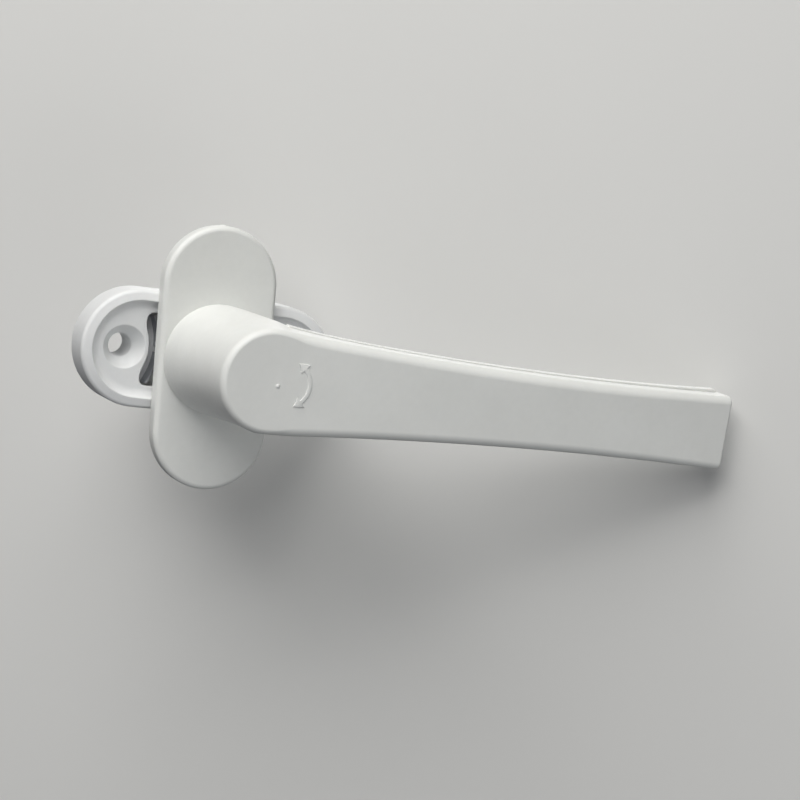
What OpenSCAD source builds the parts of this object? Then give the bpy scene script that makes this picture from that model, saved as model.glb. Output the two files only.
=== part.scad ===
// Tilt and turn window handle: a lever on a round neck, a cover plate that swivels over the two
// fixing screws, and a base plate with a detent.
// The shapes are drawn with x along the lever, y across it and z away from the window, then
// installed() hangs the lever down.
// Origin: centre of the base plate's mounting face, on the spindle axis.
// Installed: +Z up, -Y towards the room.

/* [Base plate] */
// Overall length of the base plate and of the recess round both screws
base_l = 64.8; // [62:0.2:72]
// Width of the base plate
base_w = 28.7; // [28:0.1:32]
// Height of the base plate's rim above the mounting face
base_h = 9.8; // [9.6:0.1:12]
// Width of the flat rim round the recess
rim_w = 2.6; // [1.8:0.1:3]
// Depth of the recess below the rim
recess_h = 1.75; // [1.2:0.05:2.2]
// Distance between the two fixing screws
screw_pitch = 43; // [42:0.5:44]
// Clearance hole for an M5 fixing screw
screw_hole_d = 5.8; // [5.2:0.1:6]
// Top diameter of the countersink for the screw head
countersink_d = 10.3; // [9:0.1:11]
// Depth of the countersink
countersink_h = 3.9; // [2.5:0.1:4.5]
// Diameter of the locating spigots behind the screw holes
spigot_d = 10; // [9:0.5:12]
// How far the spigots stand out behind the mounting face
spigot_h = 3.9; // [2:0.1:5]

/* [Cover plate] */
// Length of the swivelling cover plate
cover_l = 64.4; // [62:0.2:72]
// Width of the cover plate
cover_w = 28.7; // [28:0.1:32]
// Thickness of the cover plate
cover_h = 4.3; // [3.8:0.1:5]
// Angle of the cover plate past exactly crosswise, at rest
cover_angle = 3.9; // [-8:0.1:8]
// Rounding of the cover plate's front edge
cover_round = 0.9; // [0.4:0.1:1.4]

/* [Lever] */
// Length of the lever from the spindle axis to its tip
lever_l = 120; // [105:1:140]
// Height of the lever's front face above the mounting face, at the neck
lever_z = 53.6; // [50:0.2:60]
// Half width of the lever's back strip where it leaves the neck
lever_w0 = 12.45; // [12.3:0.05:12.8]
// Depth of the lever at the neck
lever_t0 = 11.4; // [10:0.1:13]
// Depth of the lever at its tip
lever_t1 = 9.4; // [8.6:0.1:11]
// Radius of the neck where it stands on the cover plate
neck_r = 13.4; // [13:0.05:13.8]
// Radius of the neck at its waist, below the lever
neck_waist_r = 12; // [11.8:0.05:12.2]
// Radius of the neck on the lever's side, where it squares off to meet the lever
neck_heel_r = 13.6; // [13.2:0.1:13.8]
// Wall thickness of the lever shell
wall = 1.9; // [1.5:0.1:2.4]
// Thickness of the strip that closes the back of the lever
strip_t = 2.6; // [2:0.1:3]
// Width of the shadow gap between the lever shell and its back strip
strip_gap = 0.35; // [0.2:0.05:0.6]

/* [Spindle and detent] */
// Side of the square spindle
spindle_w = 7; // [6.9:0.01:7]
// How far the spindle stands out behind the mounting face
spindle_out = 32; // [20:1:45]
// Radius of the detent disc
disc_r = 11.95; // [11.5:0.05:12]
// Thickness of a detent leaf spring
leaf_t = 0.5; // [0.3:0.05:0.7]

/* [Hidden] */
$fn = 96;

// clearances
overlap = 0.01;
clear = 0.05;        // radial, round the disc and the sleeve
key_fit = 0.06;      // across a square or keyed socket
seat_gap = 0.02;     // behind the back washer and the retaining ring

// heights of the stack, from the back to the front
groove_z = 0.75;     // retaining ring
groove_h = 0.8;
washer_z = 1.58;
washer_h = 0.57;
web_z = 2.2;         // back of the web that carries the sleeve
pocket_z = 3.8;      // floor of the detent pocket
floor_z = base_h - recess_h;
journal_z = floor_z + 0.1;
pin_z = journal_z + 3;
cover_z = base_h + 0.04;
cover_top = cover_z + cover_h;
neck_z = cover_top + 0.05;
sleeve_top = 28;

// shared by several pieces
journal_r = 8.9;
journal_bore_r = journal_r + 0.1;
sleeve_r = 6.4;
key_w = 11;          // square of the drive sleeve
key_r = 7.3;         // its corners are turned down to this radius
pin_hole_r = 1.5;
rib_t = 1.4;
nose_x = 12.35;      // distance of the spring noses and disc notches from the axis

// ---- helpers ------------------------------------------------------------------------------
// Cutters overrun the solids they cut; their spare length carries no meaning.

module installed() rotate([90, 0, 0]) rotate([0, 0, -90]) children();
module at_z(z) translate([0, 0, z]) children();
module both_ends() for (side = [0, 1]) mirror([side, 0, 0]) children();

// stadium plate
module pill(l, w, h) linear_extrude(height = h) {
    square([l - w, w], center = true);
    for (side = [-1, 1]) translate([side * (l - w) / 2, 0]) circle(d = w);
}

// half of the cross-section of a stadium plate, with a rounded front edge
module edge2d(w, h, r) {
    square([w / 2 - r, h]);
    square([w / 2, h - r]);
    translate([w / 2 - r, h - r]) circle(r = r);
}

module pill_round(l, w, h, r) {
    for (side = [-1, 1]) translate([side * (l - w) / 2, 0, 0]) rotate_extrude() edge2d(w, h, r);
    translate([-(l - w) / 2, 0, 0]) rotate([90, 0, 90]) linear_extrude(height = l - w) {
        edge2d(w, h, r);
        mirror([1, 0]) edge2d(w, h, r);
    }
}

module ring(outer_r, inner_r, h, cutter_h = 5) difference() {
    cylinder(r = outer_r, h = h);
    at_z(-1) cylinder(r = inner_r, h = cutter_h);
}

// rib running from x = 0 in +x
module rib(l, h) translate([0, -rib_t / 2, 0]) cube([l, rib_t, h]);
// rib across the x axis
module cross_rib(l, h) translate([-rib_t / 2, -l / 2, 0]) cube([rib_t, l, h]);

// square with turned corners, shared by the drive sleeve and its sockets
module key2d(grow) intersection() {
    square(key_w + grow, center = true);
    circle(r = key_r + grow / 2);
}

module pin_hole() at_z(pin_z) rotate([90, 0, 0]) cylinder(r = pin_hole_r, h = 40, center = true);

// ---- base plate ---------------------------------------------------------------------------

base_round = 0.8;
counterbore_r = 9.6;
// spring bay, at the -x end
lobe_x = -14.9;
lobe_y = 7.2;
lobe_r = 1.75;
bay_half_w = 7.3;
land_x = -26.3;
land_r = 11;
// coring
core_wall = 2.2;
core_roof = 2.4;
core_x = screw_pitch / 2 - 2.6;
boss_r = 6.6;

module at_screws() for (side = [-1, 1]) translate([side * screw_pitch / 2, 0, 0]) children();

// plan of the spring bay: two lobes hold the spring's ends, and the land round the screw hole
// bulges in between them
module bay2d() difference() {
    union() {
        translate([lobe_x, -bay_half_w]) square([-lobe_x, 2 * bay_half_w]);
        for (side = [-1, 1]) translate([lobe_x, side * lobe_y]) circle(r = lobe_r);
        translate([lobe_x - lobe_r, -lobe_y]) square([6, 2 * lobe_y]);
        translate([lobe_x, -lobe_y - lobe_r]) square([6.5, 2 * (lobe_y + lobe_r)]);
    }
    translate([land_x, 0]) circle(r = land_r);
}

module screw_hole() {
    at_z(-spigot_h - 1) cylinder(d = screw_hole_d, h = 20);
    at_z(floor_z - countersink_h)
        cylinder(d1 = screw_hole_d, d2 = countersink_d, h = countersink_h);
    at_z(floor_z - overlap) cylinder(d = countersink_d, h = 1);
}

// hollow behind the +x end, leaving the screw boss and three ribs
module end_core() difference() {
    at_z(-1) pill(base_l - 2 * core_wall, base_w - 2 * core_wall, floor_z - core_roof + 1);
    translate([-50, -25, -2]) cube([50 + core_x, 50, 20]);
    translate([screw_pitch / 2, 0, -2]) {
        cylinder(r = boss_r, h = 20);
        for (angle = [-55, 0, 55]) rotate([0, 0, angle]) rib(20, 20);
    }
}

module base_plate() color("whitesmoke") installed() difference() {
    union() {
        pill_round(base_l, base_w, base_h, base_round);
        at_screws() at_z(-spigot_h) cylinder(d = spigot_d, h = spigot_h + 1);
    }
    // recess inside the rim
    at_z(floor_z) pill(base_l - 2 * rim_w, base_w - 2 * rim_w, recess_h + 1);
    // detent pocket and spring bays
    at_z(pocket_z) cylinder(r = disc_r + clear, h = base_h);
    both_ends() at_z(pocket_z) linear_extrude(height = base_h) bay2d();
    // bore for the drive sleeve, and behind it the counterbore for the washer and ring
    at_z(-1) cylinder(r = sleeve_r + clear, h = base_h);
    at_z(-1) cylinder(r = counterbore_r, h = web_z + 1);
    at_screws() screw_hole();
    both_ends() end_core();
}

// ---- detent springs -----------------------------------------------------------------------

leaf_w = 3.9;
leaf_half_l = 8.3;
leaf_x = 12.45;      // distance of the bow's crown from the axis
bow_r = 17.5;
bow_x = -leaf_x - bow_r;
nose_r = 1.45;

// a bowed strip whose ends sit in the lobes of the bay, with a pressed nose that drops into a
// notch of the disc
module leaf2d() {
    difference() {
        translate([bow_x, 0]) circle(r = bow_r);
        translate([bow_x, 0]) circle(r = bow_r - leaf_t);
        translate([-100, leaf_half_l]) square([200, 100]);
        translate([-100, -100 - leaf_half_l]) square([200, 100]);
        translate([-100 + bow_x, -50]) square([100, 100]);
        translate([-nose_x, 0]) circle(r = nose_r - leaf_t);
    }
    difference() {
        translate([-nose_x, 0]) circle(r = nose_r);
        translate([-nose_x, 0]) circle(r = nose_r - leaf_t);
        translate([-20 - leaf_x - leaf_t / 2, -5]) square([20, 10]);
    }
}
module leaf_spring() at_z(pocket_z + 0.1) linear_extrude(height = leaf_w) leaf2d();
module detent_spring_upper() color("silver") installed() leaf_spring();
module detent_spring_lower() color("silver") installed() mirror([1, 0, 0]) leaf_spring();

// ---- cover plate --------------------------------------------------------------------------

cover_wall = 2;
cover_roof = 1.9;
cover_boss_r = 11.4;
cover_rib_x = 20.5;
seat_r = 12.2;       // recess for the friction washer
seat_h = 0.6;
friction_r = 12.1;
friction_h = 0.56;

// dished underside, with ribs and a boss left round the bore
module cover_dish() difference() {
    at_z(cover_z - 1)
        pill(cover_l - 2 * cover_wall, cover_w - 2 * cover_wall, cover_h - cover_roof + 1);
    at_z(cover_z - 2) cylinder(r = cover_boss_r, h = 20);
    for (side = [-1, 1]) translate([side * cover_rib_x, 0, cover_z]) cross_rib(60, 20);
    translate([-50, 0, cover_z]) rib(100, 20);
}

module cover_plate() color("whitesmoke") installed() rotate([0, 0, 90 + cover_angle])
    difference() {
        at_z(cover_z) pill_round(cover_l, cover_w, cover_h, cover_round);
        cover_dish();
        at_z(cover_z - 1) cylinder(r = journal_bore_r, h = 20);
        at_z(cover_top - seat_h) cylinder(r = seat_r, h = 5);
    }

module cover_friction_washer() color("gainsboro") installed()
    at_z(cover_top - seat_h + 0.02)
        ring(friction_r, journal_bore_r, friction_h, cutter_h = 3);

// ---- lever profile ------------------------------------------------------------------------

n_lever = 28;        // steps along the lever
bow = [7.93, -6.07]; // front height, factors of t and t^2, where t = x / lever_l
taper = [-9.93, 7.28, -0.28]; // half width, factors of t, t^2 and t^3

// the front face of the lever bows gently away from the window
function front_z(x) = let (t = x / lever_l) lever_z + bow[0] * t + bow[1] * pow(t, 2);
function back_z(x) = front_z(x) - lever_t0 - (lever_t1 - lever_t0) * x / lever_l;
// the lever narrows to a waist and widens a little at the tip
function half_w(x) = let (t = x / lever_l)
    lever_w0 + taper[0] * t + taper[1] * pow(t, 2) + taper[2] * pow(t, 3);

// length of the lever from x0 to x1, inset from its sides. It reaches from low above the back
// face to drop below the front face, or to high above the back face if that is given.
module lever_slab(x0, x1, inset, low, drop = 0, high = undef) {
    xs = [for (i = [0:n_lever]) x0 + (x1 - x0) * i / n_lever];
    xs_back = [for (i = [n_lever:-1:0]) xs[i]];
    intersection() {
        linear_extrude(height = 100) polygon(concat(
            [for (x = xs) [x, half_w(x) - inset]],
            [for (x = xs_back) [x, inset - half_w(x)]]));
        translate([0, 40, 0]) rotate([90, 0, 0]) linear_extrude(height = 80) polygon(concat(
            [for (x = xs) [x, high == undef ? front_z(x) - drop : back_z(x) + high]],
            [for (x = xs_back) [x, back_z(x) + low]]));
    }
}

// ---- handle -------------------------------------------------------------------------------

front_round = 1.8;
shell_in = 0.3;      // the lever shell stands this much inside the back strip
shell_low = strip_t + strip_gap; // back edge of the shell, above the lever's back face
head_r = lever_w0 - shell_in;
tip_wall = 0.6;      // lip of the shell past the end of the back strip
rib_start = 15;
rib_end = lever_l - 1;
cross_rib_xs = [32, 52, 72, 92, 108];
socket_z = 5;

// outline of the neck from the skirt, past the waist, to the head: [radius, height]
neck_line = [
    [neck_r, neck_z], [neck_r - 0.08, 20], [neck_waist_r + 0.8, 26], [neck_waist_r + 0.28, 32],
    [neck_waist_r, 38], [neck_waist_r, 44], [head_r, 48]
];

module neck_solid() {
    flat_r = head_r - front_round;
    edge_z = lever_z - front_round;
    rotate_extrude() {
        polygon(concat([[0, neck_z]], neck_line,
            [[head_r, edge_z], [flat_r, edge_z], [flat_r, lever_z], [0, lever_z]]));
        translate([flat_r, edge_z]) circle(r = front_round);
    }
    // on the lever's side the neck keeps its width and squares off into the lever
    intersection() {
        at_z(neck_z) cylinder(r1 = neck_r - 0.02, r2 = neck_heel_r,
            h = lever_z - lever_t0 + strip_t - neck_z);
        rotate([90, 0, 90]) linear_extrude(height = 20) polygon(concat(neck_line,
            [for (i = [len(neck_line) - 1:-1:0]) [-neck_line[i][0], neck_line[i][1]]]));
    }
}

// ribs inside the shell that stop short of the back strip
module lever_ribs() {
    for (x = cross_rib_xs) intersection() {
        lever_slab(rib_start, rib_end, 1, low = shell_low + 2, drop = 1);
        translate([x, 0, 0]) cross_rib(40, 100);
    }
    intersection() {
        lever_slab(rib_start, rib_end, 1, low = shell_low + 2, drop = 1);
        translate([rib_start, 0, 0]) rib(rib_end - rib_start, 100);
    }
}

module lever_shell() {
    difference() {
        lever_slab(1, lever_l, shell_in, low = shell_low);
        // hollow from the back
        lever_slab(16.5, lever_l - wall - 0.4, wall + shell_in, low = -1, drop = 2.2);
    }
    lever_ribs();
    // the tip is closed to the full depth
    lever_slab(lever_l - tip_wall, lever_l, shell_in, low = 0);
}

// hollow in the neck's skirt round the journal, leaving four ribs
module skirt_core() difference() {
    at_z(neck_z - overlap) cylinder(r1 = neck_r - 2.1, r2 = neck_waist_r - 1.9, h = 24);
    cylinder(r = journal_r, h = 60);
    for (angle = [45, 135]) rotate([0, 0, angle]) translate([-20, 0, 0]) rib(40, 60);
}

module handle_body() color("whitesmoke") installed() difference() {
    union() {
        neck_solid();
        at_z(journal_z) cylinder(r = journal_r, h = 10);
        lever_shell();
    }
    skirt_core();
    // socket for the drive sleeve
    at_z(socket_z) linear_extrude(height = sleeve_top - socket_z + 0.1) key2d(key_fit);
    pin_hole();
}

// ---- lever back strip ---------------------------------------------------------------------

lip_t = 1.2;
lip_start = 17;
lip_end = lever_l - wall - 1;
lip_inset = wall + shell_in + 0.1;

module lever_back_strip() color("whitesmoke") installed() {
    difference() {
        lever_slab(6, lever_l - tip_wall - 0.2, 0, low = 0, high = strip_t);
        cylinder(r = neck_heel_r + 0.15, h = 100);
    }
    // lip that plugs into the shell
    difference() {
        lever_slab(lip_start, lip_end, lip_inset, low = strip_t - 0.5, high = shell_low + 1.5);
        lever_slab(lip_start + lip_t, lip_end - lip_t, lip_inset + lip_t,
            low = strip_t, high = shell_low + 5);
    }
}

// ---- spindle and detent -------------------------------------------------------------------

sleeve_z = 0.3;
key_z = 3.83;        // the sleeve is round behind this height and keyed in front of it
groove_r = 5.55;
spindle_top = sleeve_top - 1;
spindle_chamfer_w = 1.4; // side of the square that cuts the chamfer
pin_r = 1.48;
pin_bore_r = 0.95;
pin_slit = 0.5;
notch_r = 1.6;
disc_gap = 0.06;     // behind and in front of the disc
back_washer_r = 9.2;
retainer_r = 8;
retainer_bore_r = 5.6;
retainer_gap = 8.8;

module drive_sleeve() color("darkgray") installed() difference() {
    union() {
        at_z(sleeve_z) cylinder(r = sleeve_r, h = key_z - sleeve_z);
        at_z(key_z) linear_extrude(height = sleeve_top - key_z) key2d(0);
    }
    at_z(-1) linear_extrude(height = 40) square(spindle_w + key_fit, center = true);
    at_z(groove_z) ring(20, groove_r, groove_h + 0.06);
    pin_hole();
}

module square_spindle() color("silver") installed() difference() {
    at_z((spindle_top - spindle_out) / 2)
        cube([spindle_w, spindle_w, spindle_top + spindle_out], center = true);
    pin_hole();
    // the free end is chamfered to enter the window gear
    for (angle = [0:90:270]) rotate([0, 0, angle])
        translate([spindle_w / 2, 0, -spindle_out]) rotate([0, 45, 0])
            cube([spindle_chamfer_w, 20, spindle_chamfer_w], center = true);
}

module spindle_roll_pin() color("gray") installed() at_z(pin_z) rotate([90, 0, 0])
    difference() {
        cylinder(r = pin_r, h = 2 * journal_r - 0.6, center = true);
        cylinder(r = pin_bore_r, h = 40, center = true);
        translate([0, -pin_slit / 2, -20]) cube([5, pin_slit, 40]);
    }

module detent_disc() color("ivory") installed() at_z(pocket_z + disc_gap) difference() {
    linear_extrude(height = floor_z - pocket_z - 2 * disc_gap) difference() {
        circle(r = disc_r);
        for (angle = [0:90:270]) rotate([0, 0, angle]) {
            translate([-nose_x, 0]) circle(r = notch_r);
            translate([-nose_x - notch_r, -notch_r]) square([notch_r, 2 * notch_r]);
        }
    }
    at_z(-1) linear_extrude(height = 20) key2d(key_fit);
}

module back_washer() color("silver") installed()
    at_z(washer_z + seat_gap) ring(back_washer_r, sleeve_r + clear, washer_h);

module retaining_ring() color("dimgray") installed() at_z(groove_z + seat_gap) difference() {
    ring(retainer_r, retainer_bore_r, groove_h);
    // open side, so that it can be pushed on from the side
    translate([-retainer_gap / 2, -20, -1]) cube([retainer_gap, 20, 5]);
}

base_plate();
detent_spring_upper();
detent_spring_lower();
cover_plate();
cover_friction_washer();
handle_body();
lever_back_strip();
drive_sleeve();
square_spindle();
spindle_roll_pin();
detent_disc();
back_washer();
retaining_ring();
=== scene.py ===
"""Tilt and turn window handle: moulded white plastic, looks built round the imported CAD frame."""
import math
import bpy
import numpy as np
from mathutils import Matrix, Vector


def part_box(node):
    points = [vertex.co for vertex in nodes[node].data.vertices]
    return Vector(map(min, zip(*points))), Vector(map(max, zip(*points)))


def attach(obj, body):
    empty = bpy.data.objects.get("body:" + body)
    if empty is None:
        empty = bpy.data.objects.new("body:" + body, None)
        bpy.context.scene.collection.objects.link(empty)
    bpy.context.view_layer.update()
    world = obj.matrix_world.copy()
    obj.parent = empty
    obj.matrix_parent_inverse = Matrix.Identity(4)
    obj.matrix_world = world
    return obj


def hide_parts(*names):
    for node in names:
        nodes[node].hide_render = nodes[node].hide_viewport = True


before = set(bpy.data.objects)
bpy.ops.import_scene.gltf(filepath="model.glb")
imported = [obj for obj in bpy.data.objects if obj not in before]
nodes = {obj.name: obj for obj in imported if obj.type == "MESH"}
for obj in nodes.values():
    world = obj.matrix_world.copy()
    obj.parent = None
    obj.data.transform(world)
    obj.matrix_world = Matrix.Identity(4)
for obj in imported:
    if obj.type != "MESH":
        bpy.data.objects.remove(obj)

import openvdb
from mathutils import Matrix, Vector

scene = bpy.context.scene
scene.view_settings.view_transform = "Standard"
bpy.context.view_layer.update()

# =====================================================================================================================
# Shapes. Local millimetres as in the CAD: x along the lever, y across it, z away from the window.
# In the row frame X = y, Y = -z, Z = -x. Every shape is a signed distance: negative inside.
# =====================================================================================================================


def hyp(a, b):
    return np.sqrt(a * a + b * b)


def both(a, b, r):
    """Intersection with a convex edge rounded to radius r."""
    return np.minimum(np.maximum(a, b), -r) + hyp(np.maximum(a + r, 0), np.maximum(b + r, 0))


def either(a, b, r):
    """Union with a fillet of radius r in the corner."""
    return np.maximum(np.minimum(a, b), r) - hyp(np.maximum(r - a, 0), np.maximum(r - b, 0))


def less(a, b, r):
    return both(a, -b, r)


def smooth(t):
    t = np.clip(t, 0, 1)
    return t * t * (3 - 2 * t)


def spline(points):
    """A smooth curve through a few (position, value) points, as a function."""
    p = np.array(points, float)
    t, v = p[:, 0], p[:, 1]
    h, d = np.diff(t), np.diff(v) / np.diff(t)
    m = np.zeros(len(t))
    same = d[1:] * d[:-1] > 0
    w1, w2 = 2 * h[1:] + h[:-1], h[1:] + 2 * h[:-1]
    safe = np.where(same, d[1:] * d[:-1], 1.0)
    m[1:-1] = np.where(same, (w1 + w2) * safe / (w1 * d[1:] + w2 * d[:-1] + (~same) * 1e9), 0)
    m[0], m[-1] = d[0], d[-1]
    ts = np.linspace(t[0], t[-1], 600)
    i = np.clip(np.searchsorted(t, ts, side="right") - 1, 0, len(h) - 1)
    s = (ts - t[i]) / h[i]
    vs = ((1 + 2 * s) * (1 - s) ** 2 * v[i] + s * (1 - s) ** 2 * h[i] * m[i]
          + s * s * (3 - 2 * s) * v[i + 1] + s * s * (s - 1) * h[i] * m[i + 1])
    vs = vs.astype(np.float32)
    return lambda q: np.interp(q, ts, vs).astype(np.float32)


def stadium(x, y, length, width):
    return hyp(np.maximum(np.abs(x) - (length - width) / 2, 0), y) - width / 2


# ---- lever and neck --------------------------------------------------------------------------------------------------
LEN = 120.0
SHELL_IN = 0.58      # inset of the cavity's walls
STRIP_T, GAP = 2.6, 0.12
TIP = LEN + 0.42     # the front edge's rounding starts from here
DRAFT = 0.03         # the shell widens towards its front edge
WALL = 1.9
NECK_Z = 14.19
HEAD_R = 12.1


def front_z(x):
    s = 0.5 * (x + np.sqrt(x * x + 16.0)) / LEN
    return 53.57 + 7.93 * s - 6.07 * s * s


def half_w(x):
    s = np.maximum(x, -20) / LEN
    return 12.45 - 9.93 * s + 7.28 * s * s - 0.28 * s * s * s


def depth(x):
    return 11.4 - 2.0 * x / LEN


neck_back = spline([(13, 13.4), (17, 13.38), (20, 13.28), (23, 13.08), (26, 12.78), (29, 12.48), (32, 12.24), (35, 12.08),
                    (38, 12.0), (41, 11.98), (44, 11.98), (47, 12.02), (50, 12.08), (54, HEAD_R)])
neck_front = spline([(13, 13.38), (18, 13.44), (26, 13.5), (33, 13.46), (38, 13.45), (42, 13.44), (44, 13.4),
                     (46, 13.12), (48, 12.74), (50, 12.38), (52, 12.13), (54, HEAD_R)])


def front_r(x):
    """Radius of the rounding between front face and sides."""
    return 1.95 + 0.35 * smooth((x + 2) / 14) - 0.35 * smooth((x - 75) / 45)


def lean(x, z):
    """The lever leans a little to one side, more towards its tip."""
    return (0.03 * smooth((x + 3) / 12) + 0.034 * np.clip(x / LEN, 0, 1)) * (z - front_z(x) + depth(x))


def root(x):
    """How far the lever's flanks spread where they run into the neck."""
    return 1.42 * np.exp(-np.maximum(x, 0) / 8.5) * smooth((x + 3.35) / 5.93)


def shell_w(x, z):
    """Half width of the lever's shell: the outline, less the draft towards the back."""
    a, b = half_w(x) - 0.12 - 0.15 * np.clip(x / LEN, 0, 1), 12.05
    m = np.maximum(0.35 - np.abs(a - b), 0)
    flat = np.minimum(a, b) - m * m / 1.4
    below = np.maximum(front_z(x) - 1.6 - z, 0)
    return flat - DRAFT * below + root(x) * np.minimum(below / 8.4, 1)


def flare(x):
    """The back strip widens towards the neck and a little towards the tip."""
    return root(x) - 0.03 + 0.36 * np.exp((x - LEN) / 14)


def neck(x, y, z):
    h = hyp(x, y)
    w = smooth((x / np.maximum(h, 1e-3) + 0.26) / 0.46)
    r = neck_back(z) * (1 - w) + neck_front(z) * w
    return both(h - r, NECK_Z - z, 0.35)


def rounded_ends(x, y, half, tip, r):
    """Plan outline: |y| inside half, x short of tip, with rounded corners."""
    return both(np.abs(y) - half, x - tip, r)


def lever_shell(x, y, z):
    d = hyp(np.minimum(x, 0), y + lean(x, z)) - shell_w(x, z)
    back = front_z(x) - depth(x) + STRIP_T + GAP - z
    # the tip is closed to the full depth
    wall = np.maximum(front_z(x) - depth(x) - z, TIP - 0.75 - x)
    back = np.minimum(back, wall)
    return both(d, back, 0.2)


def key(x, y, grow):
    return np.maximum(np.maximum(np.abs(x), np.abs(y)) - 5.5 - grow / 2, hyp(x, y) - 7.3 - grow / 2)


def handle_body(x, y, z):
    x, y, z = np.broadcast_arrays(x, y, z)
    shell = lever_shell(x, y, z)
    fz, dp = front_z(x), depth(x)
    inner = rounded_ends(x, y, half_w(x) - SHELL_IN - WALL, LEN - WALL - 0.4, 1.0)
    cave = both(both(inner, z - (fz - 2.2), 0.6), 16.5 - x, 0.8)
    ribs = np.abs(y) - 0.7
    for rx in (32, 52, 72, 92, 108):
        ribs = np.minimum(ribs, np.abs(x - rx) - 0.7)
    ribs = np.maximum(ribs, (fz - dp + STRIP_T + GAP + 2) - z)
    h = hyp(x, y)
    d = either(neck(x, y, z), shell, 0.3)
    d = both(d, z - fz, front_r(x))
    d = both(d, x - TIP - 0.04 - 0.027 * y, 0.6)
    d = np.maximum(d, -np.maximum(cave, -ribs))
    # the skirt of the neck is cored round the journal
    core = np.maximum(np.maximum(h - (11.3 - (z - NECK_Z) * 0.05), z - (NECK_Z + 24)), 8.9 - h)
    spokes = np.minimum(np.abs(x - y), np.abs(x + y)) * 0.7071 - 0.7
    d = np.maximum(d, -np.maximum(core, -spokes))
    journal = np.maximum(np.maximum(h - 8.9, 8.15 - z), z - 20)
    d = np.minimum(d, journal)
    d = np.maximum(d, -np.maximum(np.maximum(key(x, y, 0.06), z - 28.1), 5 - z))
    pin = np.maximum(hyp(x, z - 11.15) - 1.5, np.abs(y) - 20)
    d = np.maximum(d, -pin)
    # moulding pip on the front face
    pip = np.sqrt((x - 1.3) ** 2 + (y + 0.75) ** 2 + (z - (fz - 0.42)) ** 2) - 0.68
    return np.minimum(d, pip)


def lever_strip(x, y, z):
    x, y, z = np.broadcast_arrays(x, y, z)
    fz, dp = front_z(x), depth(x)
    plan = rounded_ends(x, y + lean(x, z), half_w(x) + flare(x), TIP - 0.9, 0.7)
    d = both(both(plan, z - (fz - dp + STRIP_T), 0.2), fz - dp - z, 0.55)
    d = both(np.maximum(d, 12.9 - hyp(x, y)), 1.2 - x, 0.3)
    outer = both(np.abs(y) - (half_w(x) - SHELL_IN - WALL - 0.1), x - (LEN - WALL - 1.0), 1.0)
    lip = np.maximum(np.maximum(outer, 17 - x), np.maximum(z - (fz - dp + STRIP_T + GAP + 1.5), fz - dp + STRIP_T - 0.5 - z))
    inner = np.maximum(np.abs(y) - (half_w(x) - SHELL_IN - WALL - 1.3), np.maximum(x - (LEN - WALL - 2.2), 18.2 - x))
    lip = np.maximum(lip, -np.maximum(inner, fz - dp + STRIP_T - z))
    return np.minimum(d, lip)


# ---- cover plate -----------------------------------------------------------------------------------------------------
COVER_A = math.radians(93.9)
COVER_Z, COVER_TOP = 9.84, 14.14


def cover_plate(x, y, z):
    x, y, z = np.broadcast_arrays(x, y, z)
    u = x * math.cos(COVER_A) + y * math.sin(COVER_A)
    v = -x * math.sin(COVER_A) + y * math.cos(COVER_A)
    d = both(both(stadium(u, v, 64.4, 28.7), z - COVER_TOP, 1.35), COVER_Z - z, 0.3)
    # what is left of the gate at one end
    gate = np.sqrt(((u - 31.75) / 1.0) ** 2 + ((v - 0.3) / 1.5) ** 2 + ((z - 12.0) / 1.1) ** 2) - 0.72
    d = either(d, gate * 0.9, 0.3)
    h = hyp(x, y)
    dish = both(stadium(u, v, 60.4, 24.7), z - (COVER_Z + 2.4), 0.5)
    keep = np.minimum(h - 11.4, np.minimum(np.abs(np.abs(u) - 20.5) - 0.7, np.abs(v) - 0.7))
    d = np.maximum(d, -np.maximum(dish, -keep))
    d = np.maximum(d, 9.0 - h)
    return np.maximum(d, -np.maximum(h - 12.2, COVER_TOP - 0.6 - z))


# ---- base plate ------------------------------------------------------------------------------------------------------
BASE_H, RIM_W, RECESS = 9.8, 2.6, 1.75
FLOOR_Z = BASE_H - RECESS
POCKET_Z = 3.8


def bay(x, y):
    """Plan of one spring bay, on the side where x is negative."""
    ay = np.abs(y)
    a = np.maximum(np.abs(x + 7.45) - 7.45, ay - 7.3)
    lobes = hyp(x + 14.9, ay - 7.2) - 1.75
    b = np.maximum(np.abs(x + 13.65) - 3.0, ay - 7.2)
    c = np.maximum(np.abs(x + 11.65) - 3.25, ay - 8.95)
    d = np.minimum(np.minimum(a, lobes), np.minimum(b, c))
    return less(d, hyp(x + 26.3, y) - 11.0, 0.5)


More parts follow.
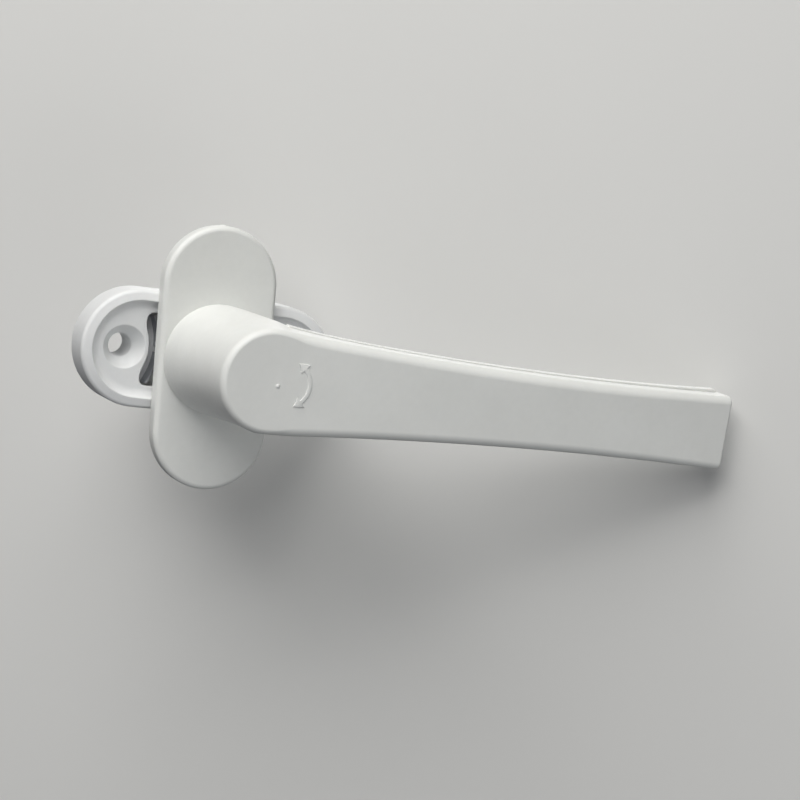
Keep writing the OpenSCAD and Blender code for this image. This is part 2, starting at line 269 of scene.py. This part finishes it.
def base_plate(x, y, z):
    x, y, z = np.broadcast_arrays(x, y, z)
    h = hyp(x, y)
    out = stadium(x, y, 64.8, 28.7)
    rim = (z - (BASE_H - 0.27 * np.maximum(out + RIM_W, 0))) * 0.965
    d = both(both(out, rim, 0.85), -z, 0.3)
    xs = 21.5 - np.abs(x)                      # from the screw hole towards the middle
    hs = hyp(xs, y)
    spigot = both(hs - 5.0, np.maximum(z - 1, -3.9 - z), 0.35)
    d = np.minimum(d, spigot)
    # recess, its wall drafted and blended into the floor
    inner = (stadium(x, y, 64.8 - 2 * RIM_W, 28.7 - 2 * RIM_W) + (BASE_H - z) * 0.12) * 0.99
    recess = both(inner, FLOOR_Z - z, 2.0)
    d = less(d, recess, 0.3)
    # screw hole: a soft countersink drawn out to a point on the middle's side
    q = np.maximum(hs, xs * 0.845 + np.abs(y) * 0.534)
    sink = (q - (5.25 - (FLOOR_Z - z) * 0.6)) * 0.857
    sink = np.maximum(sink, FLOOR_Z - 3.95 - z)
    d = less(d, sink, 0.18)
    d = np.maximum(d, 2.9 - hs)
    # detent pocket with a spring bay on either side
    pocket = np.minimum(h - 12.0, np.minimum(bay(x, y), bay(-x, y)))
    d = less(d, np.maximum(pocket, POCKET_Z - z), 0.22)
    d = np.maximum(d, 6.45 - h)
    d = np.maximum(d, -np.maximum(h - 9.6, z - 2.2))
    # coring behind both ends, round the screw bosses
    ax = np.abs(x)
    core = both(stadium(x, y, 60.4, 24.3), z - (FLOOR_Z - 2.4), 0.5)
    core = np.maximum(np.maximum(core, (21.5 - 2.6) - ax), 6.6 - hs)
    ribs = np.abs(y) - 0.7
    for a in (-55, 55):
        c, s = math.cos(math.radians(a)), math.sin(math.radians(a))
        across = np.abs(-(ax - 21.5) * s + y * c) - 0.7
        ribs = np.minimum(ribs, np.maximum(across, -((ax - 21.5) * c + y * s)))
    return np.maximum(d, -np.maximum(core, -ribs))


# =====================================================================================================================
# Meshing: sample the distance, mesh it, pull each vertex onto the surface, thin the flat parts, set exact normals.
# =====================================================================================================================


def gradient(f, p, e):
    g = np.empty_like(p)
    for k in range(3):
        a, b = p.copy(), p.copy()
        a[:, k] += e
        b[:, k] -= e
        g[:, k] = f(a[:, 0], a[:, 1], a[:, 2]) - f(b[:, 0], b[:, 1], b[:, 2])
    return g / (2 * e)


def settle(f, p, h, steps=3):
    for _ in range(steps):
        d = f(p[:, 0], p[:, 1], p[:, 2])
        g = gradient(f, p, 0.02)
        n2 = np.maximum((g * g).sum(1), 0.3)
        move = np.clip(d / n2, -h, h)
        p = p - g * move[:, None]
    return p


def to_row(p):
    return np.stack([p[:, 1], -p[:, 2], -p[:, 0]], 1) * 0.001


def mesh_of(name, f, lo, hi, h, keep):
    lo, hi = np.array(lo, float) - 3.3 * h, np.array(hi, float) + 3.3 * h
    n = np.ceil((hi - lo) / h).astype(int) + 1
    grid = openvdb.FloatGrid(3 * h)
    ys = (lo[1] + np.arange(n[1]) * h).astype(np.float32)[None, :, None]
    zs = (lo[2] + np.arange(n[2]) * h).astype(np.float32)[None, None, :]
    for i in range(0, n[0], 48):
        xs = (lo[0] + np.arange(i, min(i + 48, n[0])) * h).astype(np.float32)[:, None, None]
        d = np.clip(f(xs, ys, zs), -3 * h, 3 * h).astype(np.float32)
        grid.copyFromArray(np.ascontiguousarray(d), ijk=(i, 0, 0))
    p, quads = grid.convertToQuads(0.0)
    p = p.astype(np.float64) * h + lo
    p = settle(f, p, h)
    me = bpy.data.meshes.new(name)
    q = np.asarray(quads, dtype=np.int64)
    # outward winding
    a, b, c = p[q[:, 0]], p[q[:, 1]], p[q[:, 2]]
    nrm = np.cross(b - a, c - a)
    g = gradient(f, (a + c) / 2, 0.05)
    if (nrm * g).sum() < 0:
        q = q[:, ::-1]
    # to_row keeps handedness: (y, -z, -x) is a rotation
    me.from_pydata(to_row(p).tolist(), [], q.tolist())
    me.validate()
    ob = bpy.data.objects.new(name, me)
    scene.collection.objects.link(ob)
    mod = ob.modifiers.new("thin", "DECIMATE")
    mod.ratio = keep
    dg = bpy.context.evaluated_depsgraph_get()
    thin = bpy.data.meshes.new_from_object(ob.evaluated_get(dg))
    ob.modifiers.clear()
    ob.data = thin
    bpy.data.meshes.remove(me)
    thin.name = name
    co = np.empty(len(thin.vertices) * 3)
    thin.vertices.foreach_get("co", co)
    co = co.reshape(-1, 3) * 1000
    loc = np.stack([-co[:, 2], co[:, 0], -co[:, 1]], 1)
    loc = settle(f, loc, h * 0.5, 2)
    thin.vertices.foreach_set("co", to_row(loc).ravel())
    thin.polygons.foreach_set("use_smooth", [True] * len(thin.polygons))
    thin.update()
    # each corner's normal is the surface's own, read a little way in on its face's side of any edge
    fn = np.empty(len(thin.polygons) * 3)
    thin.polygons.foreach_get("normal", fn)
    vi = np.empty(len(thin.loops), dtype=np.int64)
    thin.loops.foreach_get("vertex_index", vi)
    total = np.empty(len(thin.polygons), dtype=np.int64)
    thin.polygons.foreach_get("loop_total", total)
    per = np.repeat(np.arange(len(total)), total)
    mid = np.zeros((len(total), 3))
    np.add.at(mid, per, loc[vi])
    mid = (mid / total[:, None])[per]
    away = mid - loc[vi]
    reach = np.maximum(np.linalg.norm(away, axis=1, keepdims=True), 1e-9)
    at = settle(f, loc[vi] + away / reach * np.minimum(reach * 0.7, 0.14), 0.1, 1)
    g = gradient(f, at, 0.03)
    g /= np.maximum(np.linalg.norm(g, axis=1, keepdims=True), 1e-9)
    ln, pn = np.stack([g[:, 1], -g[:, 2], -g[:, 0]], 1), fn.reshape(-1, 3)[per]
    ln = np.where(((ln * pn).sum(1) < 0.6)[:, None], pn, ln)
    thin.normals_split_custom_set(ln.tolist())
    print(name, "faces", len(thin.polygons))
    return ob


def box_of(name):
    """A CAD node's box in local millimetres."""
    a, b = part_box(name)
    a, b = np.array(a) * 1000, np.array(b) * 1000
    return [-b[2], a[0], -b[1]], [-a[2], b[0], -a[1]]


# =====================================================================================================================
# Materials, all procedural. Object space is the row frame in metres.
# =====================================================================================================================


class Nodes:
    def __init__(self, name):
        self.mat = bpy.data.materials.new(name)
        self.mat.use_nodes = True
        self.tree = self.mat.node_tree
        self.bsdf = self.tree.nodes["Principled BSDF"]
        self.out = self.tree.nodes["Material Output"]

    def add(self, kind, **values):
        n = self.tree.nodes.new(kind)
        for k, v in values.items():
            setattr(n, k, v)
        return n

    def link(self, a, b):
        self.tree.links.new(a, b)

    def noise(self, vector, scale, detail=3.0, rough=0.55, squash=None):
        if squash:
            m = self.add("ShaderNodeMapping")
            m.inputs["Scale"].default_value = squash
            self.link(vector, m.inputs["Vector"])
            vector = m.outputs["Vector"]
        n = self.add("ShaderNodeTexNoise")
        n.inputs["Scale"].default_value = scale
        n.inputs["Detail"].default_value = detail
        n.inputs["Roughness"].default_value = rough
        self.link(vector, n.inputs["Vector"])
        return n.outputs["Fac"]

    def remap(self, value, a, b, c, d):
        n = self.add("ShaderNodeMapRange")
        for k, v in zip(("From Min", "From Max", "To Min", "To Max"), (a, b, c, d)):
            n.inputs[k].default_value = v
        self.link(value, n.inputs["Value"])
        return n.outputs["Result"]

    def math(self, op, a, b):
        n = self.add("ShaderNodeMath", operation=op)
        for i, v in enumerate((a, b)):
            if isinstance(v, (int, float)):
                n.inputs[i].default_value = v
            else:
                self.link(v, n.inputs[i])
        return n.outputs[0]

    def mix(self, fac, a, b):
        n = self.add("ShaderNodeMix", data_type="RGBA")
        for i, v in zip((6, 7), (a, b)):
            if isinstance(v, tuple):
                n.inputs[i].default_value = (*v, 1)
            else:
                self.link(v, n.inputs[i])
        self.link(fac, n.inputs[0])
        return n.outputs[2]

    def edge(self, radius):
        """1 on convex and concave edges, 0 on flats."""
        bevel = self.add("ShaderNodeBevel", samples=4)
        bevel.inputs["Radius"].default_value = radius
        geo = self.add("ShaderNodeNewGeometry")
        dot = self.add("ShaderNodeVectorMath", operation="DOT_PRODUCT")
        self.link(bevel.outputs["Normal"], dot.inputs[0])
        self.link(geo.outputs["Normal"], dot.inputs[1])
        return self.remap(dot.outputs["Value"], 0.995, 0.88, 0.0, 1.0)


def finish(name, base, dark, worn, rough, metal=0.0, grain=5200.0, bump=0.12, bump_mm=0.012, brushed=None,
           edge_mm=0.35, edge_mix=0.5, spread=0.06, soft=0.0, ior=1.46):
    """One procedural finish: colour drifts between base and dark, edges go to worn, fine grain in the bump."""
    n = Nodes(name)
    at = n.add("ShaderNodeTexCoord").outputs["Object"]
    broad = n.noise(at, 75.0, 2.0)
    mid = n.noise(at, 620.0, 4.0)
    fine = n.noise(at, grain, 3.0, 0.6, brushed)
    tone = n.math("ADD", n.math("MULTIPLY", broad, 0.65), n.math("MULTIPLY", mid, 0.35))
    colour = n.mix(n.remap(tone, 0.36, 0.64, 0.0, 1.0), base, dark)
    edge = n.math("MULTIPLY", n.edge(edge_mm * 0.001), edge_mix)
    edge = n.math("MULTIPLY", edge, n.remap(mid, 0.3, 0.7, 0.45, 1.0))
    colour = n.mix(edge, colour, worn)
    n.link(colour, n.bsdf.inputs["Base Color"])
    r = n.math("ADD", n.remap(mid, 0.3, 0.7, rough - spread, rough + spread), n.remap(fine, 0.3, 0.7, -spread / 2, spread / 2))
    r = n.math("SUBTRACT", r, n.math("MULTIPLY", edge, 0.08))
    n.link(r, n.bsdf.inputs["Roughness"])
    n.bsdf.inputs["Metallic"].default_value = metal
    n.bsdf.inputs["IOR"].default_value = ior
    if soft:
        n.bsdf.inputs["Subsurface Weight"].default_value = soft
        n.bsdf.inputs["Subsurface Scale"].default_value = 0.0012
        n.bsdf.inputs["Subsurface Radius"].default_value = (1.0, 0.9, 0.8)
    b = n.add("ShaderNodeBump")
    b.inputs["Strength"].default_value = bump
    b.inputs["Distance"].default_value = bump_mm * 0.001
    n.link(fine, b.inputs["Height"])
    # a little long-wave unevenness, as moulded and pressed parts have
    b2 = n.add("ShaderNodeBump")
    b2.inputs["Strength"].default_value = bump * 0.8
    b2.inputs["Distance"].default_value = bump_mm * 0.004
    n.link(n.noise(at, 240.0, 2.0), b2.inputs["Height"])
    n.link(b2.outputs["Normal"], b.inputs["Normal"])
    n.link(b.outputs["Normal"], n.bsdf.inputs["Normal"])
    return n.mat


white = finish("white_plastic", (0.80, 0.81, 0.785), (0.765, 0.775, 0.75), (0.86, 0.86, 0.84), 0.43,
               grain=5200, bump=0.16, bump_mm=0.010, edge_mm=0.4, edge_mix=0.35, spread=0.05, soft=0.06)
white_base = finish("white_plastic_base", (0.79, 0.80, 0.80), (0.75, 0.76, 0.76), (0.84, 0.84, 0.83), 0.46,
                    grain=4600, bump=0.2, bump_mm=0.012, edge_mm=0.4, edge_mix=0.35, spread=0.06, soft=0.06)
acetal = finish("acetal", (0.86, 0.84, 0.78), (0.80, 0.78, 0.71), (0.90, 0.89, 0.84), 0.38,
                grain=3800, bump=0.15, edge_mm=0.25, edge_mix=0.4, soft=0.12)
zinc = finish("zinc", (0.42, 0.43, 0.44), (0.33, 0.34, 0.35), (0.62, 0.63, 0.64), 0.46, metal=0.9,
              grain=2600, bump=0.35, bump_mm=0.02, edge_mm=0.3, edge_mix=0.8, spread=0.1)
bright_steel = finish("bright_steel", (0.62, 0.62, 0.61), (0.52, 0.52, 0.50), (0.78, 0.78, 0.77), 0.3, metal=1.0,
                      grain=5200, bump=0.3, bump_mm=0.012, brushed=(1.0, 0.06, 1.0), edge_mm=0.3, edge_mix=0.8, spread=0.08)
spring_steel = finish("spring_steel", (0.50, 0.51, 0.54), (0.40, 0.41, 0.44), (0.62, 0.61, 0.60), 0.46, metal=1.0,
                      grain=4200, bump=0.25, brushed=(0.08, 1.0, 1.0), edge_mm=0.15, edge_mix=0.9, spread=0.08)
for name, mat in {"detent_spring_upper": spring_steel, "detent_spring_lower": spring_steel, "cover_friction_washer": acetal,
                  "drive_sleeve": zinc, "square_spindle": bright_steel, "spindle_roll_pin": spring_steel,
                  "detent_disc": acetal, "back_washer": bright_steel, "retaining_ring": spring_steel,
                  "base_plate": white_base, "cover_plate": white, "handle_body": white, "lever_back_strip": white}.items():
    data = nodes[name].data
    data.materials.clear()
    data.materials.append(mat)

# =====================================================================================================================
# Moulded pieces
# =====================================================================================================================


def moulded(name, node, f, h, keep, body, mat, grow=0.6):
    lo, hi = box_of(node)
    ob = mesh_of(name, f, np.array(lo) - grow, np.array(hi) + grow, h, keep)
    ob.data.materials.append(mat)
    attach(ob, body)
    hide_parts(node)
    return ob


base = moulded("base_moulding", "base_plate", base_plate, 0.24, 0.22, "base", white_base)
cover = moulded("cover_moulding", "cover_plate", cover_plate, 0.24, 0.2, "cover", white)
body = moulded("handle_moulding", "handle_body", handle_body, 0.26, 0.2, "handle", white)
strip = moulded("lever_strip_moulding", "lever_back_strip", lever_strip, 0.24, 0.16, "handle", white)


# a plain two-headed turn arrow, raised a little on the front of the lever
def turn_mark():
    import bmesh
    cx, rad, half, span = 3.6, 5.3, 0.46, math.radians(46)
    stations = []
    head = math.radians(22)
    for sgn in (-1, 1):
        part = [(span + head * k / 5, 1.35 * (1 - k / 5) + 0.03) for k in range(5, -1, -1)]
        part += [(span - 0.002, half)]
        part = [(sgn * a, w) for a, w in part]
        stations.append(part)
    middle = [(-span + 2 * span * k / 40, half) for k in range(1, 40)]
    line = stations[0] + middle + stations[1][::-1]
    bm = bmesh.new()
    rings = []
    for a, w in line:
        ins = min(0.12, w * 0.5)
        ring = []
        for across, up in ((-w, -0.25), (-w, 0.1), (-w + ins * 0.4, 0.18), (-w + ins, 0.21),
                           (w - ins, 0.21), (w - ins * 0.4, 0.18), (w, 0.1), (w, -0.25)):
            x, y = cx + (rad + across) * math.cos(a), (rad + across) * math.sin(a)
            z = float(front_z(np.float64(x))) + up
            ring.append(bm.verts.new((y * 0.001, -z * 0.001, -x * 0.001)))
        rings.append(ring)
    for r0, r1 in zip(rings, rings[1:]):
        for k in range(8):
            bm.faces.new((r0[k], r0[(k + 1) % 8], r1[(k + 1) % 8], r1[k]))
    bm.faces.new(rings[0])
    bm.faces.new(rings[-1][::-1])
    bmesh.ops.recalc_face_normals(bm, faces=bm.faces)
    me = bpy.data.meshes.new("turn_mark")
    bm.to_mesh(me)
    bm.free()
    ob = bpy.data.objects.new("turn_mark", me)
    scene.collection.objects.link(ob)
    me.polygons.foreach_set("use_smooth", [True] * len(me.polygons))
    me.set_sharp_from_angle(angle=math.radians(50))
    me.materials.append(white)
    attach(ob, "handle")
    return ob


turn_mark()

# =====================================================================================================================
# Stage: the handle rests on a pale table on the end of its spindle and the tip of its lever, as it was laid down.
# =====================================================================================================================
slope = (46.06 + 32.0) / (120.0 + 2.5)
norm = math.hypot(1, slope)
N = Vector((0, -1 / norm, slope / norm))              # away from the table
U = Vector((1, 0, 0))                                 # up in the picture
R = Vector((0, -slope / norm, -1 / norm))             # along the lever
foot = Vector((0, 0.0321, 0.0025)) - N * 0.0002
middle = foot + R * 0.06


def table():
    me = bpy.data.meshes.new("table")
    pts, faces, k, size = [], [], 24, 1.6
    for i in range(k + 1):
        for j in range(k + 1):
            p = middle + U * (size * (2 * i / k - 1)) + R * (size * (2 * j / k - 1))
            pts.append(tuple(p))
    for i in range(k):
        for j in range(k):
            a = i * (k + 1) + j
            faces.append((a, a + k + 1, a + k + 2, a + 1))
    me.from_pydata(pts, [], faces)
    ob = bpy.data.objects.new("table", me)
    scene.collection.objects.link(ob)
    if me.polygons[0].normal.dot(N) < 0:
        me.flip_normals()
    n = Nodes("table")
    at = n.add("ShaderNodeTexCoord").outputs["Object"]
    drift = n.noise(at, 6.0, 3.0)
    fine = n.noise(at, 900.0, 4.0)
    # pale to look at, but it throws little light back up at the handle
    pale = n.mix(drift, (0.70, 0.70, 0.685), (0.66, 0.66, 0.645))
    seen = n.add("ShaderNodeLightPath").outputs["Is Camera Ray"]
    n.link(n.mix(seen, (0.10, 0.10, 0.10), pale), n.bsdf.inputs["Base Color"])
    n.link(n.remap(fine, 0.3, 0.7, 0.6, 0.7), n.bsdf.inputs["Roughness"])
    n.bsdf.inputs["Specular IOR Level"].default_value = 0.25
    b = n.add("ShaderNodeBump")
    b.inputs["Strength"].default_value = 0.08
    b.inputs["Distance"].default_value = 0.0001
    n.link(fine, b.inputs["Height"])
    n.link(b.outputs["Normal"], n.bsdf.inputs["Normal"])
    # seen from underneath the table is clear, so that the back of the handle can be looked at
    clear = n.add("ShaderNodeBsdfTransparent")
    geo = n.add("ShaderNodeNewGeometry")
    m = n.add("ShaderNodeMixShader")
    through = n.add("ShaderNodeMath")
    through.operation = "MAXIMUM"
    n.link(geo.outputs["Backfacing"], through.inputs[0])
    n.link(n.add("ShaderNodeLightPath").outputs["Is Shadow Ray"], through.inputs[1])
    n.link(through.outputs["Value"], m.inputs["Fac"])
    n.link(n.bsdf.outputs["BSDF"], m.inputs[1])
    n.link(clear.outputs["BSDF"], m.inputs[2])
    n.link(m.outputs["Shader"], n.out.inputs["Surface"])
    me.materials.append(n.mat)
    return ob


table()

world = bpy.data.worlds.new("studio")
scene.world = world
world.use_nodes = True
tree = world.node_tree
shown, lit = tree.nodes["Background"], tree.nodes.new("ShaderNodeBackground")
shown.inputs["Color"].default_value = (0.93, 0.94, 0.95, 1)
shown.inputs["Strength"].default_value = 0.75
lit.inputs["Color"].default_value = (0.93, 0.95, 1.0, 1)
lit.inputs["Strength"].default_value = 0.16
which, ray = tree.nodes.new("ShaderNodeMixShader"), tree.nodes.new("ShaderNodeLightPath")
tree.links.new(ray.outputs["Is Camera Ray"], which.inputs["Fac"])
tree.links.new(lit.outputs["Background"], which.inputs[1])
tree.links.new(shown.outputs["Background"], which.inputs[2])
tree.links.new(which.outputs["Shader"], tree.nodes["World Output"].inputs["Surface"])


def softbox(name, direction, distance, size, power, colour=(1, 1, 1)):
    data = bpy.data.lights.new(name, "AREA")
    data.shape = "SQUARE"
    data.size = size
    data.energy = power
    data.color = colour
    ob = bpy.data.objects.new(name, data)
    scene.collection.objects.link(ob)
    aim = Vector((0, -0.02, -0.04))
    ob.location = aim + direction.normalized() * distance
    ob.rotation_mode = "QUATERNION"
    ob.rotation_quaternion = (aim - ob.location).to_track_quat("-Z", "Y")
    return ob


softbox("key", U * 0.80 - R * 0.24 + N * 0.50, 0.95, 0.9, 9.7, (1.0, 0.985, 0.96))
softbox("fill", N * 0.86 + U * 0.50 - R * 0.10, 1.1, 0.6, 2.6, (1.0, 0.995, 0.98))
softbox("low", N * 0.5 + R * 0.7 - U * 0.7, 1.1, 0.9, 1.9, (0.98, 0.99, 1.0))
softbox("back", U * 0.12 - N, 0.95, 0.8, 8.0)

# camera, at the angle the handle was seen from
cam = bpy.data.objects.new("Camera", bpy.data.cameras.new("Camera"))
scene.collection.objects.link(cam)
right = Vector((0.14917371709971386, -0.39635567204367506, -0.9058970048330338))
up = Vector((0.9840885730056218, 0.1489402113191009, 0.09688391988344067))
back = Vector((0.09652400015754589, -0.9059354252324107, 0.4122670526522315))
place = Matrix((right, up, back)).transposed().to_4x4()
place.translation = Vector((0.050314802856628135, -0.5344083862316763, 0.18683921245245752))
cam.matrix_world = place
cam.data.lens = 102.83255552795976
cam.data.sensor_width = 36
cam.data.clip_start = 0.01
scene.camera = cam

bpy.context.view_layer.update()
